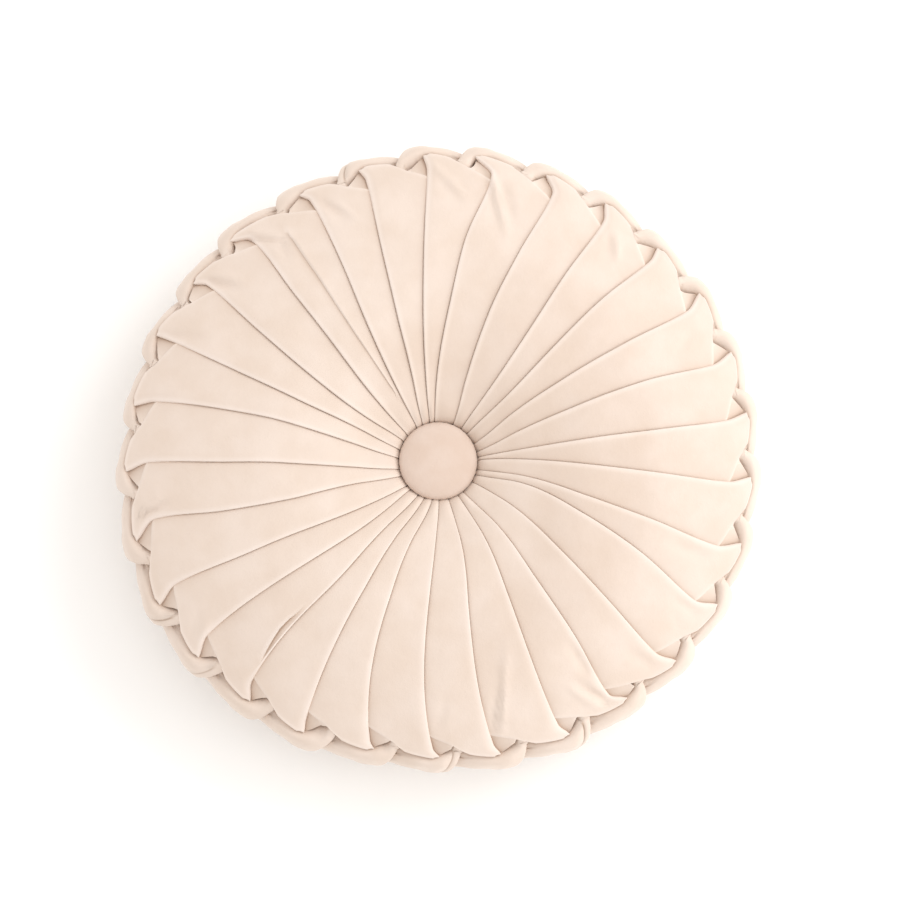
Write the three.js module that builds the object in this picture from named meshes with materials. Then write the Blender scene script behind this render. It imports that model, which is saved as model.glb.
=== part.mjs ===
import * as THREE from 'three';

// Round cushion lying on its back, in millimetres, +Z up, face up.
// Angles are in degrees, anticlockwise from +X as the face is seen.

// Driving sizes
const FOLD_DEPTH = 4.6;
const BAND_DEPTH = 6.5;
const CORNER_SETBACK = 12.3;
const RIDGE_DROP = 2.5;
const RIDGE_ROLL = 0.6;
const BAND_OFFSET = 0.47;
const RIM_LEAN = 14.9;
const BUTTON_SIDES = 40;
const FACE_SEAT_HEIGHT = 83.5;
const BACK_SEAT_HEIGHT = 16.5;
const BUTTON_OFFSET_X = -0.1;
const BUTTON_OFFSET_Y = -1.8;
const FULL_TURN = 360;

// Radii at which the folds are measured, from the button outwards
const STATIONS = [
  { name: 'button', radius: 24 },
  { name: 'inner', radius: 48 },
  { name: 'middle', radius: 87 },
  { name: 'outer', radius: 126 },
  { name: 'rim', radius: 166 },
];

// One row for each fold: its angle at each station and at its pinched tip, and the tip's radius
const FOLDS = [
  { button: 5.5, inner: 7.5, middle: 8.3, outer: 8.0, rim: 7.9, tip: 8.9, reach: 178.2 },
  { button: 13.5, inner: 19.8, middle: 21.5, outer: 21.0, rim: 19.2, tip: 20.4, reach: 178.2 },
  { button: 25.8, inner: 32.1, middle: 33.0, outer: 32.1, rim: 31.0, tip: 32.8, reach: 176.9 },
  { button: 43.3, inner: 43.2, middle: 44.5, outer: 44.7, rim: 43.3, tip: 44.2, reach: 174.3 },
  { button: 54.5, inner: 54.4, middle: 55.1, outer: 55.7, rim: 55.4, tip: 57.2, reach: 174.9 },
  { button: 67.7, inner: 71.2, middle: 71.2, outer: 68.9, rim: 66.9, tip: 69.6, reach: 174.3 },
  { button: 94.6, inner: 90.9, middle: 86.1, outer: 83.2, rim: 79.5, tip: 83.6, reach: 174.9 },
  { button: 101.8, inner: 98.6, middle: 95.7, outer: 93.7, rim: 92.3, tip: 93.0, reach: 174.3 },
  { button: 112.5, inner: 107.5, middle: 105.8, outer: 105.0, rim: 104.6, tip: 105.6, reach: 171.7 },
  { button: 122.1, inner: 119.9, middle: 117.6, outer: 116.1, rim: 116.4, tip: 118.0, reach: 171.0 },
  { button: 139.6, inner: 135.9, middle: 132.2, outer: 130.9, rim: 130.5, tip: 134.2, reach: 173.0 },
  { button: 150.0, inner: 149.1, middle: 146.3, outer: 144.2, rim: 142.9, tip: 144.5, reach: 172.7 },
  { button: 163.5, inner: 158.3, middle: 156.6, outer: 156.1, rim: 156.0, tip: 156.2, reach: 176.2 },
  { button: 175.5, inner: 168.9, middle: 165.9, outer: 166.6, rim: 168.4, tip: 170.0, reach: 176.9 },
  { button: 191.5, inner: 184.6, middle: 180.9, outer: 180.4, rim: 180.5, tip: 182.2, reach: 178.8 },
  { button: 202.1, inner: 195.8, middle: 194.6, outer: 193.2, rim: 191.8, tip: 195.2, reach: 178.8 },
  { button: 218.0, inner: 212.1, middle: 207.3, outer: 205.8, rim: 205.3, tip: 207.6, reach: 179.5 },
  { button: 225.3, inner: 222.5, middle: 218.5, outer: 216.7, rim: 217.2, tip: 219.6, reach: 177.6 },
  { button: 239.0, inner: 231.8, middle: 229.9, outer: 228.5, rim: 229.9, tip: 232.2, reach: 174.9 },
  { button: 248.9, inner: 241.1, middle: 240.0, outer: 240.8, rim: 242.9, tip: 243.8, reach: 173.6 },
  { button: 260.5, inner: 251.5, middle: 250.6, outer: 252.3, rim: 256.4, tip: 257.8, reach: 169.1 },
  { button: 270.5, inner: 267.8, middle: 266.0, outer: 266.3, rim: 269.0, tip: 270.6, reach: 169.7 },
  { button: 284.8, inner: 285.5, middle: 281.5, outer: 280.0, rim: 281.0, tip: 282.2, reach: 171.7 },
  { button: 299.5, inner: 301.0, middle: 297.3, outer: 295.0, rim: 294.4, tip: 295.8, reach: 173.6 },
  { button: 308.5, inner: 312.2, middle: 309.6, outer: 307.9, rim: 306.1, tip: 308.8, reach: 173.6 },
  { button: 328.0, inner: 328.3, middle: 323.7, outer: 320.5, rim: 318.5, tip: 320.0, reach: 177.6 },
  { button: 339.5, inner: 344.6, middle: 340.0, outer: 335.7, rim: 331.4, tip: 332.8, reach: 179.5 },
  { button: 347.2, inner: 349.5, middle: 346.6, outer: 344.6, rim: 343.0, tip: 344.8, reach: 179.5 },
  { button: 361.3, inner: 360.6, middle: 358.4, outer: 356.8, rim: 355.8, tip: 357.0, reach: 178.8 },
];

// Face from the button seat to the rim: share of the rim radius, height, depth of the folds there
const FACE_ROWS = [
  { share: 0.110, height: 83.2, depth: 0 },
  { share: 0.137, height: 86.0, depth: 0.45 },
  { share: 0.175, height: 92.4, depth: 0.7 },
  { share: 0.230, height: 97.6, depth: 0.9 },
  { share: 0.300, height: 101.4, depth: 1 },
  { share: 0.385, height: 103.8, depth: 1 },
  { share: 0.500, height: 103.9, depth: 1 },
  { share: 0.620, height: 101.8, depth: 1 },
  { share: 0.740, height: 98.0, depth: 1 },
  { share: 0.850, height: 92.6, depth: 1 },
  { share: 0.930, height: 87.2, depth: 1 },
  { share: 1.000, height: 80.5, depth: 1 },
];

// Rim bands: how far the lean has gone, distance out from the tips, height, which edge is raised
const RIM_ROWS = [
  { lean: 0.00, out: -4.0, height: 77.0, raised: 1 },
  { lean: 0.05, out: 1.6, height: 75.6, raised: 1 },
  { lean: 0.10, out: 5.6, height: 71.8, raised: 1 },
  { lean: 0.17, out: 7.6, height: 65.5, raised: 0.9 },
  { lean: 0.32, out: 6.6, height: 57.5, raised: 0.5 },
  { lean: 0.50, out: 4.4, height: 50.0, raised: 0 },
  { lean: 0.68, out: 6.6, height: 42.5, raised: -0.5 },
  { lean: 0.83, out: 7.6, height: 34.5, raised: -0.9 },
  { lean: 0.90, out: 5.6, height: 28.2, raised: -1 },
  { lean: 0.95, out: 1.6, height: 24.4, raised: -1 },
  { lean: 1.00, out: -4.0, height: 23.0, raised: -1 },
];

// Back from the button seat to the rim, pressed flat at height 0 where it lies on a surface
const BACK_ROWS = [
  { share: 0.110, height: 16.8, depth: 0 },
  { share: 0.137, height: 14.0, depth: 0.5 },
  { share: 0.230, height: 4.2, depth: 0.6 },
  { share: 0.320, height: 0, depth: 0.45 },
  { share: 0.470, height: 0, depth: 0.45 },
  { share: 0.620, height: 0, depth: 0.45 },
  { share: 0.720, height: 1.8, depth: 0.6 },
  { share: 0.820, height: 6.4, depth: 0.8 },
  { share: 0.920, height: 13.0, depth: 1 },
  { share: 1.000, height: 19.5, depth: 1 },
];

// Section of a covered button from its seat over the rolled edge to the top
const BUTTON_PROFILE = [
  { radius: 0, height: 0 },
  { radius: 18.6, height: 0 },
  { radius: 21.4, height: 1.9 },
  { radius: 22.25, height: 3.9 },
  { radius: 21.7, height: 5.7 },
  { radius: 19.8, height: 7.2 },
  { radius: 15.5, height: 8.6 },
  { radius: 8.5, height: 9.6 },
  { radius: 0, height: 10 },
];

// Columns across one pleat: place on the face, place on the back, and how far the cloth lies
// below the raised edge on the face and on the back, as a share of the fold depth
const COLUMNS = [
  { face: 0.00, back: 0.03, faceSink: 1.00, backSink: 0.00 },
  { face: 0.25, back: 0.14, faceSink: 0.45, backSink: 0.00 },
  { face: 0.60, back: 0.40, faceSink: 0.10, backSink: 0.10 },
  { face: 0.86, back: 0.75, faceSink: 0.00, backSink: 0.45 },
  { face: 0.97, back: 1.00, faceSink: 0.00, backSink: 1.00 },
];

const pleatCount = FOLDS.length;
const meanReach = FOLDS.reduce((sum, fold) => sum + fold.reach, 0) / pleatCount;

// Smooth curve of each fold's angle over the radius
const foldCurves = FOLDS.map((fold) => {
  const radii = [...STATIONS.map((station) => station.radius), fold.reach];
  const angles = [...STATIONS.map((station) => fold[station.name]), fold.tip];
  return new THREE.CubicInterpolant(radii, angles, 1);
});

// Height over the share of the rim radius, on the face and on the back
const heightCurve = (rows) =>
  new THREE.LinearInterpolant(rows.map((row) => row.share), rows.map((row) => row.height), 1);
const faceHeight = heightCurve(FACE_ROWS);
const backHeight = heightCurve(BACK_ROWS);

function mix(a, b, t) {
  return a + (b - a) * t;
}

// Whole turns in a fold's number, which runs on past both ends of the table
function turnsOf(number) {
  return Math.floor(number / pleatCount);
}

function foldRow(number) {
  return FOLDS[number - turnsOf(number) * pleatCount];
}

function tipAngle(number) {
  return foldRow(number).tip + turnsOf(number) * FULL_TURN;
}

// Angle of a fold line on the face at a radius
function faceFoldAngle(number, radius) {
  const curve = foldCurves[number - turnsOf(number) * pleatCount];
  return curve.evaluate(radius)[0] + turnsOf(number) * FULL_TURN;
}

// Angle where the rim band of a fold starts, tucked under the next panel's outer ridge
function bandStart(number) {
  return mix(tipAngle(number), tipAngle(number + 1), BAND_OFFSET);
}

function backTipAngle(number) {
  return bandStart(number) - RIM_LEAN + BAND_OFFSET * (tipAngle(number + 1) - tipAngle(number));
}

// Angle of a fold line on the back, evening out towards the button
function backFoldAngle(number, share) {
  const even = backTipAngle(0) + (number * FULL_TURN) / pleatCount;
  return mix(even, backTipAngle(number), share);
}

// Radius of the tip ring at a place across a pleat
function ringRadius(pleat, place) {
  return mix(foldRow(pleat - 1).reach, foldRow(pleat).reach, place);
}

function polar(angle, radius, height) {
  const turn = THREE.MathUtils.degToRad(angle);
  return new THREE.Vector3(radius * Math.cos(turn), radius * Math.sin(turn), height);
}

// The cover's mean section as radius and height, from one button's seat round to the other's
const facePart = FACE_ROWS.map((row) => new THREE.Vector2(row.share * meanReach, row.height));
const rimPart = RIM_ROWS.map((row) => new THREE.Vector2(meanReach + row.out, row.height));
const backPart = BACK_ROWS.map((row) => new THREE.Vector2(row.share * meanReach, row.height));
const section = [...facePart, ...rimPart, ...backPart.reverse()];

// Direction out of the cover at a row of the section
function outward(index) {
  const before = section[Math.max(index - 1, 0)];
  const after = section[Math.min(index + 1, section.length - 1)];
  const along = new THREE.Vector2().subVectors(after, before).normalize();
  return new THREE.Vector2(-along.y, along.x);
}

// Point on a pleat of the face; drop lowers it under the panel's outer ridge
function facePoint(row, out, pleat, column, drop) {
  const ring = ringRadius(pleat, column.face);
  const radius = row.share * ring - CORNER_SETBACK * (1 - column.face) * row.share ** 4;
  const angle = mix(faceFoldAngle(pleat - 1, radius), faceFoldAngle(pleat, radius), column.face);
  const sink = FOLD_DEPTH * row.depth * column.faceSink;
  const height = faceHeight.evaluate(radius / ring)[0] - sink * out.y - drop;
  return polar(angle, radius - sink * out.x + Math.sign(drop) * RIDGE_ROLL, height);
}

// Point on a slanted band of the rim
function rimPoint(row, out, pleat, column) {
  const share = (1 + row.raised) / 2;
  const place = mix(column.back, column.face, share);
  const sink = BAND_DEPTH * mix(column.backSink, column.faceSink, share);
  const angle = mix(bandStart(pleat - 1), bandStart(pleat), place) - RIM_LEAN * row.lean;
  const radius = ringRadius(pleat, place) + row.out - sink * out.x;
  return polar(angle, radius, row.height - sink * out.y);
}

// Point on a pleat of the back; lift raises it under the panel's outer ridge
function backPoint(row, out, pleat, column, lift) {
  const radius = row.share * meanReach - CORNER_SETBACK * column.back * row.share ** 4;
  const share = radius / meanReach;
  const angle = mix(backFoldAngle(pleat - 1, share), backFoldAngle(pleat, share), column.back);
  const pressed = row.height === 0;
  const sunk = pressed ? Math.floor(column.backSink) : column.backSink;
  const sink = FOLD_DEPTH * row.depth * sunk;
  const height = (pressed ? 0 : backHeight.evaluate(share)[0]) - sink * out.y + lift;
  return polar(angle, radius - sink * out.x + Math.sign(lift) * RIDGE_ROLL, height);
}

// Rings of the cover, each a function of pleat and column, with a foot under both outer ridges
function coverRings() {
  const rimFrom = FACE_ROWS.length;
  const backFrom = rimFrom + RIM_ROWS.length;
  const faceRing = (row, out, drop) => (pleat, column) => facePoint(row, out, pleat, column, drop);
  const rimRing = (row, out) => (pleat, column) => rimPoint(row, out, pleat, column);
  const backRing = (row, out, lift) => (pleat, column) => backPoint(row, out, pleat, column, lift);
  const backRows = [...BACK_ROWS].reverse();
  return [
    ...FACE_ROWS.map((row, index) => faceRing(row, outward(index), 0)),
    faceRing(FACE_ROWS[rimFrom - 1], outward(rimFrom - 1), RIDGE_DROP),
    ...RIM_ROWS.map((row, index) => rimRing(row, outward(rimFrom + index))),
    backRing(backRows[0], outward(backFrom), RIDGE_DROP),
    ...backRows.map((row, index) => backRing(row, outward(backFrom + index), 0)),
  ];
}

// Closed skin: rings of points joined by triangles, with a middle point at each end
function coverGeometry() {
  const rings = coverRings();
  const around = pleatCount * COLUMNS.length;
  const points = [];
  for (const place of rings) {
    for (let pleat = 0; pleat < pleatCount; pleat += 1) {
      points.push(...COLUMNS.map((column) => place(pleat, column)));
    }
  }
  const faceMiddle = points.push(new THREE.Vector3(0, 0, FACE_ROWS[0].height)) - 1;
  const backMiddle = points.push(new THREE.Vector3(0, 0, BACK_ROWS[0].height)) - 1;

  const triangles = [];
  const lastRing = (rings.length - 1) * around;
  for (let step = 0; step < around; step += 1) {
    const next = (step + 1) % around;
    triangles.push(faceMiddle, step, next);
    for (let near = 0; near < lastRing; near += around) {
      const far = near + around;
      triangles.push(near + step, far + step, far + next);
      triangles.push(near + step, far + next, near + next);
    }
    triangles.push(backMiddle, lastRing + next, lastRing + step);
  }
  return new THREE.BufferGeometry().setFromPoints(points).setIndex(triangles);
}

// Covered button: flat seat, rolled edge and low dome, turned about its own axis
function buttonGeometry() {
  const profile = BUTTON_PROFILE.map((row) => new THREE.Vector2(row.radius, row.height));
  return new THREE.LatheGeometry(profile, BUTTON_SIDES).rotateX(Math.PI / 2);
}

const velvet = new THREE.MeshStandardMaterial({ color: 0xefd6c5, roughness: 0.95, metalness: 0 });
const buttonVelvet = new THREE.MeshStandardMaterial({ color: 0xebd2c0, roughness: 0.95, metalness: 0 });

const cover = new THREE.Mesh(coverGeometry(), velvet);
cover.name = 'cover';

const buttonFront = new THREE.Mesh(buttonGeometry(), buttonVelvet);
buttonFront.name = 'button_front';
buttonFront.position.z = FACE_SEAT_HEIGHT;

const buttonBack = new THREE.Mesh(buttonGeometry(), buttonVelvet);
buttonBack.name = 'button_back';
buttonBack.rotation.x = Math.PI;
buttonBack.position.z = BACK_SEAT_HEIGHT;

// The buttons sit a little off the middle of the uneven outline
const group = new THREE.Group();
group.position.set(BUTTON_OFFSET_X, BUTTON_OFFSET_Y, 0);
group.add(cover, buttonFront, buttonBack);

export default group;
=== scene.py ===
"""A round pleated velvet cushion lying on its back, with a covered button in the middle of each face.

The cover is one tube of cloth. It is laid in folds that all lean the same way and gathered to a button
on each face, and its ridges are stitched together around the rim, where the cloth crosses in slanted bands.
"""

import math
from collections import namedtuple

import bpy
import numpy as np
from bpy.props import FloatProperty, FloatVectorProperty, PointerProperty
from mathutils import Matrix, Vector


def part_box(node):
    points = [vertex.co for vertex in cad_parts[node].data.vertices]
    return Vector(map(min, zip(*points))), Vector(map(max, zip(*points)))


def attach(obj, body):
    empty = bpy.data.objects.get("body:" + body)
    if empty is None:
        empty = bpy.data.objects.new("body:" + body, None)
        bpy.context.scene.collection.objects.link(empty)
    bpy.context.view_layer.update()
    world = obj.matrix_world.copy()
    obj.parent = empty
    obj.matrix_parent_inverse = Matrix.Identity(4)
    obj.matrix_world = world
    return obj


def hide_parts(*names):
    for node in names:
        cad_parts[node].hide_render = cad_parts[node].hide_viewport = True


bl_info = {
    "name": "Round pleated cushion",
    "version": (1, 0, 0),
    "blender": (4, 5, 0),
    "location": "3D View > Sidebar > Cushion",
    "description": "Builds a round pleated velvet cushion with two covered buttons",
    "category": "Add Mesh",
}

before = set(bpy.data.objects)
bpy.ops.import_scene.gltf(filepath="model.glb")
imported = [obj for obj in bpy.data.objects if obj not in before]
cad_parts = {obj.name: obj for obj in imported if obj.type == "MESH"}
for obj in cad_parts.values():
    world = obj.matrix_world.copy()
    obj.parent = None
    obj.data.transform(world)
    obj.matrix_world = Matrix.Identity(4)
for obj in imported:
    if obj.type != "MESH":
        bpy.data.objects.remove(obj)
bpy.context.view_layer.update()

MM = 0.001


def table(fields, *rows):
    """Rows of numbers that are read by the names of their fields."""
    kind = namedtuple("Row", fields)
    return tuple(kind(*row) for row in rows)


# Radii in mm at which the folds of the face are measured, from the button outwards
STATIONS = (24, 48, 87, 126, 166)

# One row for each fold: its angle in degrees at each station and at its pinched tip, and the radius of the
# tip in mm
FOLDS = table(
    "button inner middle outer rim tip reach",
    (5.5, 7.5, 8.3, 8.0, 7.9, 8.9, 178.2),
    (13.5, 19.8, 21.5, 21.0, 19.2, 20.4, 178.2),
    (25.8, 32.1, 33.0, 32.1, 31.0, 32.8, 176.9),
    (43.3, 43.2, 44.5, 44.7, 43.3, 44.2, 174.3),
    (54.5, 54.4, 55.1, 55.7, 55.4, 57.2, 174.9),
    (67.7, 71.2, 71.2, 68.9, 66.9, 69.6, 174.3),
    (94.6, 90.9, 86.1, 83.2, 79.5, 83.6, 174.9),
    (101.8, 98.6, 95.7, 93.7, 92.3, 93.0, 174.3),
    (112.5, 107.5, 105.8, 105.0, 104.6, 105.6, 171.7),
    (122.1, 119.9, 117.6, 116.1, 116.4, 118.0, 171.0),
    (139.6, 135.9, 132.2, 130.9, 130.5, 134.2, 173.0),
    (150.0, 149.1, 146.3, 144.2, 142.9, 144.5, 172.7),
    (163.5, 158.3, 156.6, 156.1, 156.0, 156.2, 176.2),
    (175.5, 168.9, 165.9, 166.6, 168.4, 170.0, 176.9),
    (191.5, 184.6, 180.9, 180.4, 180.5, 182.2, 178.8),
    (202.1, 195.8, 194.6, 193.2, 191.8, 195.2, 178.8),
    (218.0, 212.1, 207.3, 205.8, 205.3, 207.6, 179.5),
    (225.3, 222.5, 218.5, 216.7, 217.2, 219.6, 177.6),
    (239.0, 231.8, 229.9, 228.5, 229.9, 232.2, 174.9),
    (248.9, 241.1, 240.0, 240.8, 242.9, 243.8, 173.6),
    (260.5, 251.5, 250.6, 252.3, 256.4, 257.8, 169.1),
    (270.5, 267.8, 266.0, 266.3, 269.0, 270.6, 169.7),
    (284.8, 285.5, 281.5, 280.0, 281.0, 282.2, 171.7),
    (299.5, 301.0, 297.3, 295.0, 294.4, 295.8, 173.6),
    (308.5, 312.2, 309.6, 307.9, 306.1, 308.8, 173.6),
    (328.0, 328.3, 323.7, 320.5, 318.5, 320.0, 177.6),
    (339.5, 344.6, 340.0, 335.7, 331.4, 332.8, 179.5),
    (347.2, 349.5, 346.6, 344.6, 343.0, 344.8, 179.5),
    (361.3, 360.6, 358.4, 356.8, 355.8, 357.0, 178.8),
)

# Section of a face from the button out to the rim: share of the rim radius, height and fold depth in mm
FACE_ROWS = table(
    "share height depth",
    (0.110, 82.8, 1.0),
    (0.126, 85.6, 1.2),
    (0.138, 90.0, 1.4),
    (0.175, 93.6, 1.7),
    (0.230, 96.6, 2.0),
    (0.300, 100.0, 2.3),
    (0.385, 102.7, 2.6),
    (0.500, 103.9, 2.8),
    (0.620, 102.5, 2.9),
    (0.740, 98.6, 2.9),
    (0.850, 92.9, 2.7),
    (0.930, 87.2, 2.3),
    (1.000, 80.5, 1.8),
)
BACK_ROWS = table(
    "share height depth",
    (0.110, 16.8, 1.2),
    (0.137, 14.0, 2.1),
    (0.230, 4.2, 3.0),
    (0.320, 0.0, 2.6),
    (0.470, 0.0, 2.4),
    (0.620, 0.0, 2.6),
    (0.720, 1.8, 3.2),
    (0.820, 6.4, 4.0),
    (0.920, 13.0, 4.2),
    (1.000, 19.5, 4.2),
)

# Front half of a rim band, row by row from under the panel's ridge to the middle of the rim: share of the
# whole lean, how raised one edge is, and the section as distance in mm out from the tips and height, at four
# places across the band: its low end, the tip it passes under, its full leaf and the neck it hangs from
BAND_ROWS = table(
    "lean raised low_out low_height tip_out tip_height leaf_out leaf_height neck_out neck_height",
    (0.000, 1.00, -9.0, 77.0, -4.0, 75.0, -6.0, 77.5, -7.0, 83.8),
    (0.012, 1.00, -5.4, 78.0, -1.8, 76.8, -3.2, 79.2, -3.6, 82.6),
    (0.030, 1.00, -2.0, 78.8, 0.8, 78.4, 0.2, 80.2, -0.4, 80.8),
    (0.060, 1.00, 1.4, 77.8, 3.0, 78.2, 3.4, 78.8, 2.6, 78.2),
    (0.095, 0.98, 3.8, 74.4, 4.7, 75.6, 5.8, 75.4, 5.4, 74.8),
    (0.135, 0.92, 5.1, 69.6, 5.7, 70.6, 7.2, 70.4, 7.5, 70.2),
    (0.180, 0.80, 5.5, 64.0, 6.0, 64.8, 7.8, 64.8, 8.5, 64.8),
    (0.260, 0.52, 4.6, 58.0, 5.1, 58.6, 6.9, 59.0, 7.4, 59.0),
    (0.370, 0.20, 3.8, 53.8, 4.0, 54.0, 4.8, 54.2, 5.0, 54.2),
    (0.500, 0.00, 3.4, 50.0, 3.4, 50.0, 3.4, 50.0, 3.4, 50.0),
)
BAND_PLACES = (0.16, 0.53, 0.76, 0.93)
BAND_NAMES = ("low", "tip", "leaf", "neck")

# Across one band where one edge is rolled over its neighbour, and where both edges lie alike:
# share of the band's width, step aside in mm and depth in mm
BAND_COLUMNS = table(
    "rolled_share rolled_step rolled_depth level_share level_step level_depth",
    (0.00, -5.0, 7.6, 0.00, 0.0, 4.4),
    (0.00, -2.4, 6.8, 0.00, 0.5, 4.1),
    (0.00, 0.2, 5.4, 0.00, 1.4, 3.5),
    (0.00, 2.2, 4.1, 0.07, 0.0, 2.7),
    (0.12, 0.0, 2.9, 0.14, 0.0, 1.9),
    (0.19, 0.0, 1.9, 0.21, 0.0, 1.2),
    (0.27, 0.0, 1.1, 0.28, 0.0, 0.7),
    (0.36, 0.0, 0.5, 0.35, 0.0, 0.3),
    (0.46, 0.0, 0.2, 0.42, 0.0, 0.1),
    (0.55, 0.0, 0.0, 0.47, 0.0, 0.0),
    (0.64, 0.0, 0.0, 0.53, 0.0, 0.0),
    (0.73, 0.0, 0.1, 0.58, 0.0, 0.1),
    (0.81, 0.0, 0.3, 0.65, 0.0, 0.3),
    (0.88, 0.0, 0.6, 0.72, 0.0, 0.7),
    (0.94, 0.0, 1.0, 0.79, 0.0, 1.2),
    (1.00, -0.8, 1.5, 0.86, 0.0, 1.9),
    (1.00, 0.0, 2.6, 0.93, 0.0, 2.7),
    (1.00, -0.2, 4.0, 1.00, -1.4, 3.5),
    (1.00, -1.6, 5.6, 1.00, -0.5, 4.1),
    (1.00, -5.0, 8.2, 1.00, 0.0, 4.4),
)

# Rim bands whose raised edge is laid double, with the depth in mm of the groove along it. It runs along one
# column of points, and the columns beside it are drawn to it up to a share of the band's width.
DOUBLED_BANDS = {8: 0.9, 16: 1.0, 17: 0.7, 21: 0.9, 23: 1.3}
GROOVE_COLUMN = 13
GROOVE_WIDTH = 0.02

# Section of a covered button in mm, from its seat over the rolled edge to the top
BUTTON_ROWS = table(
    "radius height",
    (16.0, 0.6),
    (19.6, 0.5),
    (21.6, 1.9),
    (22.3, 3.9),
    (21.8, 5.7),
    (19.8, 7.3),
    (15.5, 8.7),
    (8.5, 9.7),
    (0.0, 10.0),
)

# How far the rim stands out beyond its mean, in mm at angles around the cushion
RIM_ROWS = table(
    "angle out",
    (0, -0.6),
    (22, -0.4),
    (46, 0.4),
    (60, 0.0),
    (88, -0.2),
    (120, 0.0),
    (136, 0.4),
    (147, -0.8),
    (158, -1.8),
    (172, -2.0),
    (184, -1.2),
    (196, 0.8),
    (209, 1.4),
    (246, 1.0),
    (284, 0.6),
    (297, 1.6),
    (310, 1.6),
    (322, 0.2),
    (345, -0.6),
    (360, -0.6),
)

# Drag lines where the cloth is pulled towards a stitch: both ends as angle and radius, width and height in mm
CREASES = table(
    "angle radius end_angle end_radius width height",
    (79.4, 167, 72.9, 134, 2.4, 1.9),
    (80.0, 166, 74.6, 136, 2.2, -1.6),
    (77.0, 163, 72.0, 141, 3.2, -1.2),
    (90.4, 170, 83.6, 152, 2.0, 1.1),
    (89.0, 161, 84.6, 147, 2.6, -0.8),
    (113.8, 163, 110.6, 148, 2.8, -1.6),
    (112.4, 162, 107.8, 145, 1.6, 0.9),
    (130.2, 167, 125.0, 154, 1.5, -1.9),
    (128.6, 169, 124.2, 155, 1.7, 1.1),
    (125.0, 155, 127.6, 144, 1.5, -1.5),
    (141.8, 167, 139.0, 150, 2.6, -2.4),
    (140.4, 168, 137.6, 152, 2.4, 0.9),
    (154.8, 169, 152.6, 150, 2.6, -1.6),
    (168.6, 170, 166.4, 156, 3.0, -1.0),
    (190.6, 172, 188.9, 155, 1.5, -2.2),
    (189.4, 171, 187.6, 157, 1.9, 1.2),
    (215.4, 171, 212.6, 160, 2.2, -0.9),
    (218.0, 172, 214.6, 158, 2.0, 0.8),
    (283.4, 154, 290.4, 110, 1.9, 1.5),
    (282.0, 153, 286.0, 130, 2.4, -1.5),
    (270.0, 151, 271.8, 136, 2.4, -0.8),
    (305.0, 167, 301.4, 148, 2.3, -2.6),
    (303.2, 168, 299.4, 148, 1.9, 1.3),
    (304.9, 146, 305.2, 126, 2.6, -1.3),
    (316.4, 169, 314.4, 150, 3.2, -1.3),
    (340.6, 160, 340.0, 140, 3.2, -1.2),
    (329.8, 170, 329.2, 154, 3.0, -1.8),
    (325.4, 168, 328.0, 156, 2.0, -0.7),
    (51.8, 166, 47.8, 154, 2.0, 1.1),
    (52.6, 162, 49.6, 151, 2.4, -0.8),
    (27.0, 163, 24.2, 150, 2.4, -0.7),
)

# Small folds laid between the main ones: the panel they lie in, and for places along them the radius in mm,
# the angle in degrees, half the step in height in mm and how far the points are drawn to them, from 0 to 1
ADDED_FOLDS = table(
    "panel radius angle height gather",
    (10, 38, 121.6, 0.00, 0.0),
    (10, 48, 123.2, 0.30, 1.0),
    (10, 87, 123.6, 0.35, 1.0),
    (10, 126, 123.5, 0.40, 1.0),
    (10, 155, 123.8, 0.40, 1.0),
    (10, 167, 124.0, 0.00, 0.0),
    (18, 76, 227.0, 0.00, 0.0),
    (18, 112, 227.6, 0.00, 1.0),
    (18, 119, 227.4, 0.40, 1.0),
    (18, 124, 227.0, 0.90, 1.0),
    (18, 131, 226.9, 1.10, 1.0),
    (18, 138, 227.4, 1.10, 1.0),
    (18, 144, 227.9, 0.95, 1.0),
    (18, 149, 228.4, 0.60, 1.0),
    (18, 154, 228.7, 0.00, 1.0),
    (18, 169, 228.9, 0.00, 0.0),
)

# Outer ridge of a panel from its low corner to its tip: share of the width, and share of the setback from
# the tips
RIDGE_SHARES = (0.0, 0.18, 0.36, 0.45, 0.54, 0.75, 1.0)
RIDGE_FALLS = (1.0, 0.81, 0.60, 0.42, 0.26, 0.11, 0.0)

# Rows of points of a face from the button to the outer ridges, as shares of the rim radius
ROW_SHARES = np.concatenate(
    [np.linspace(0.11, 0.2, 10)[:-1], np.linspace(0.2, 0.9, 44)[:-1], np.linspace(0.9, 1, 12)]
)

# Rows past the outer ridge: shares of the way down the small flap, degrees around the rolled edge, and steps
# inwards and down in mm to the edge that the rim bands hide
FLAP_STEPS = (0.05, 0.12, 0.3, 0.5, 0.7, 0.88, 1.0)
EDGE_TURNS = (50, 75, 100, 130, 165)
HIDDEN_STEPS = ((2.5, 4.2), (7.0, 7.5), (16.0, 12.0))

PLEATS = len(FOLDS)
MEAN_REACH = sum(fold.reach for fold in FOLDS) / PLEATS

# Where a rim band's raised edge leaves the face, as a share of the way from one tip to the next, and the rows
# of points down one half of a band
BAND_OFFSET = 0.47
BAND_STEPS = 38

# The small flap below a panel's low corner: its end as a share of the panel's width, and its drop in mm
FLAP_END = 0.36
FLAP_DROP = 3.4

# The neck, where a panel's edge pinches the band below it: two shares of the panel's width
NECK_START = (0.31, 0.37)
NECK_END = (0.47, 0.53)

# Middle of the buttons, their seats and the front one's top, in mm from the frame, then the heights of the
# rim's middle, of the face at the rim and of the cloth's gap to the table
button_low, button_high = (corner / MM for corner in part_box("button_front"))
BUTTON_CENTRE = ((button_low.x + button_high.x) / 2, (button_low.y + button_high.y) / 2)
FACE_SEAT_HEIGHT = button_low.z
BUTTON_TOP_HEIGHT = button_high.z
BACK_SEAT_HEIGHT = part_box("button_back")[1].z / MM
RIM_MIDDLE = BAND_ROWS[-1].tip_height
RIM_LEVEL = FACE_ROWS[-1].height
TABLE_GAP = 0.05

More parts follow.
